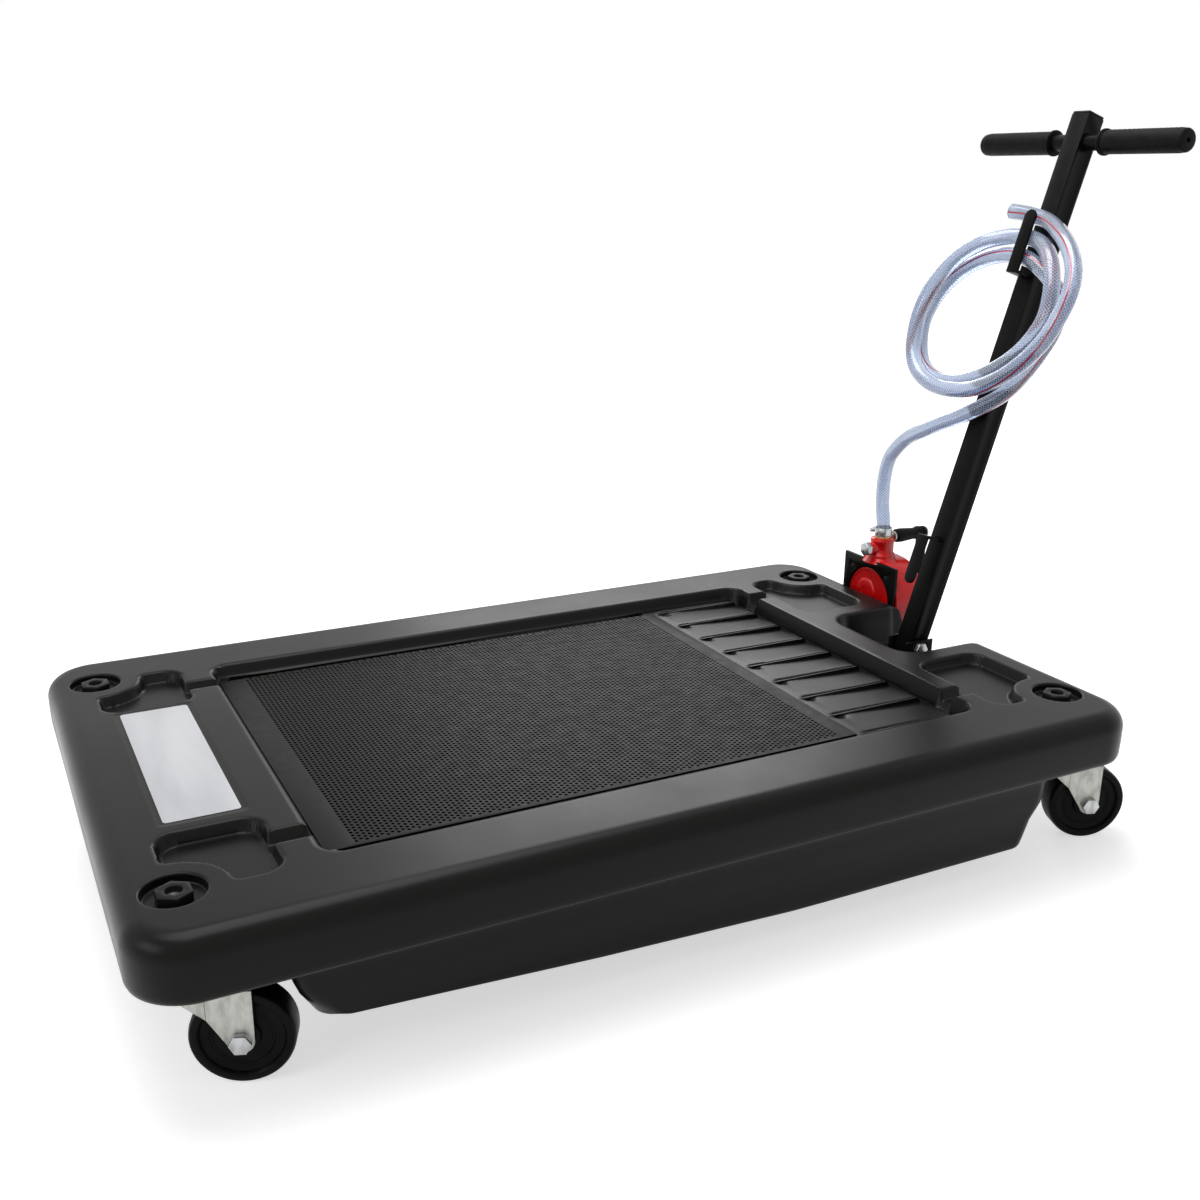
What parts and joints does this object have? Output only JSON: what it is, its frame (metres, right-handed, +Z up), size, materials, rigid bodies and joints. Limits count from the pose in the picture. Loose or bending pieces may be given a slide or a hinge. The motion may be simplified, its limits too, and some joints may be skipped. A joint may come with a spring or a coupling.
{
  "type": "wheeled oil drainer",
  "caption": "Low wheeled oil drain tank with a perforated screen, swivel casters, a leaning T handle and a hand-cranked pump with a coiled hose.",
  "frame": {"origin": "centre of the box over everything but the hose, on the floor", "axes": "+X along the deck towards the handle and pump, +Y across the deck, +Z up"},
  "size_m": [1.3878, 0.746, 0.9095],
  "materials": {
    "deck_plastic": "satin, moulded",
    "label_film": "satin film",
    "zinc": "zinc plated",
    "wheel_plastic": "moulded",
    "bronze": "plain",
    "black_steel": "satin powder coat",
    "black_cap": "moulded",
    "grip_rubber": "matte",
    "red_paint": "gloss",
    "clear_hose": "clear braided"
  },
  "bodies": {
    "root": {"tank_body": "deck_plastic", "blank_label": "label_film", "caster_stems": "zinc", "caster_stem_nuts": "black_steel", "swivel_races": "zinc", "handle_bracket": "black_steel", "bracket_bolts": "zinc", "hinge_bolt": "zinc", "hinge_nut": "zinc", "hinge_washers": "black_cap", "pump_plate": "black_steel", "plate_bolts": "zinc", "pump_bolts": "zinc", "pump_front_cover": "red_paint", "pump_body": "red_paint", "pump_rear_cover": "red_paint", "pump_outlet": "red_paint", "priming_plug": "zinc", "hose_barb": "bronze", "hose_clamp": "zinc", "suction_pipe": "black_cap", "suction_flange": "zinc", "shaft_seal": "black_cap", "hose_riser": "clear_hose"},
    "screen": {"drain_screen": "black_steel"},
    "handle": {"handle_pole": "black_steel", "pole_cap": "black_cap", "cross_bar": "black_steel", "grip_left": "grip_rubber", "grip_right": "grip_rubber", "hose_hook_upper": "black_steel", "hose_hook_lower": "black_steel", "hose_loops": "clear_hose"},
    "crank": {"pump_shaft": "zinc", "pump_rotor": "zinc", "pump_vanes": "black_cap", "crank_arm": "zinc", "crank_nut": "zinc", "crank_pin": "zinc"},
    "crank_grip": {"crank_grip": "grip_rubber"},
    "fork_1": {"caster_fork_1": "zinc", "caster_axle_1": "zinc", "caster_nut_1": "zinc"},
    "wheel_1": {"caster_wheel_1": "wheel_plastic", "wheel_bush_1": "bronze"},
    "fork_2": {"caster_fork_2": "zinc", "caster_axle_2": "zinc", "caster_nut_2": "zinc"},
    "wheel_2": {"caster_wheel_2": "wheel_plastic", "wheel_bush_2": "bronze"},
    "fork_3": {"caster_fork_3": "zinc", "caster_axle_3": "zinc", "caster_nut_3": "zinc"},
    "wheel_3": {"caster_wheel_3": "wheel_plastic", "wheel_bush_3": "bronze"},
    "fork_4": {"caster_fork_4": "zinc", "caster_axle_4": "zinc", "caster_nut_4": "zinc"},
    "wheel_4": {"caster_wheel_4": "wheel_plastic", "wheel_bush_4": "bronze"}
  },
  "joints": [
    {"name": "caster_1_swivel", "type": "hinge", "parent": "root", "child": "fork_1", "pos_m": [-0.63891, -0.28, 0.107], "axis": [0, 0, 1], "continuous": true},
    {"name": "caster_1_roll", "type": "hinge", "parent": "fork_1", "child": "wheel_1", "pos_m": [-0.5907, -0.29948, 0.05], "axis": [0.3746, 0.9272, 0], "continuous": true},
    {"name": "caster_2_swivel", "type": "hinge", "parent": "root", "child": "fork_2", "pos_m": [-0.63891, 0.28, 0.107], "axis": [0, 0, 1], "continuous": true},
    {"name": "caster_2_roll", "type": "hinge", "parent": "fork_2", "child": "wheel_2", "pos_m": [-0.5907, 0.26052, 0.05], "axis": [0.3746, 0.9272, 0], "continuous": true},
    {"name": "caster_3_swivel", "type": "hinge", "parent": "root", "child": "fork_3", "pos_m": [0.44709, -0.28, 0.107], "axis": [0, 0, 1], "continuous": true},
    {"name": "caster_3_roll", "type": "hinge", "parent": "fork_3", "child": "wheel_3", "pos_m": [0.4953, -0.29948, 0.05], "axis": [0.3746, 0.9272, 0], "continuous": true},
    {"name": "caster_4_swivel", "type": "hinge", "parent": "root", "child": "fork_4", "pos_m": [0.44709, 0.28, 0.107], "axis": [0, 0, 1], "continuous": true},
    {"name": "caster_4_roll", "type": "hinge", "parent": "fork_4", "child": "wheel_4", "pos_m": [0.4953, 0.26052, 0.05], "axis": [0.3746, 0.9272, 0], "continuous": true},
    {"name": "handle_tilt", "type": "hinge", "parent": "root", "child": "handle", "pos_m": [0.44709, 0, 0.172], "axis": [0, 1, 0], "range_deg": [-17.6, 60]},
    {"name": "pump_crank", "type": "hinge", "parent": "root", "child": "crank", "pos_m": [0.60409, 0.171, 0.195], "axis": [1, 0, 0], "continuous": true},
    {"name": "crank_grip_spin", "type": "hinge", "parent": "crank", "child": "crank_grip", "pos_m": [0.58409, 0.171, 0.283], "axis": [1, 0, 0], "continuous": true},
    {"name": "screen_lift", "type": "slide", "parent": "root", "child": "screen", "axis": [0, 0, 1], "range_m": [0, 0.15]}
  ]
}
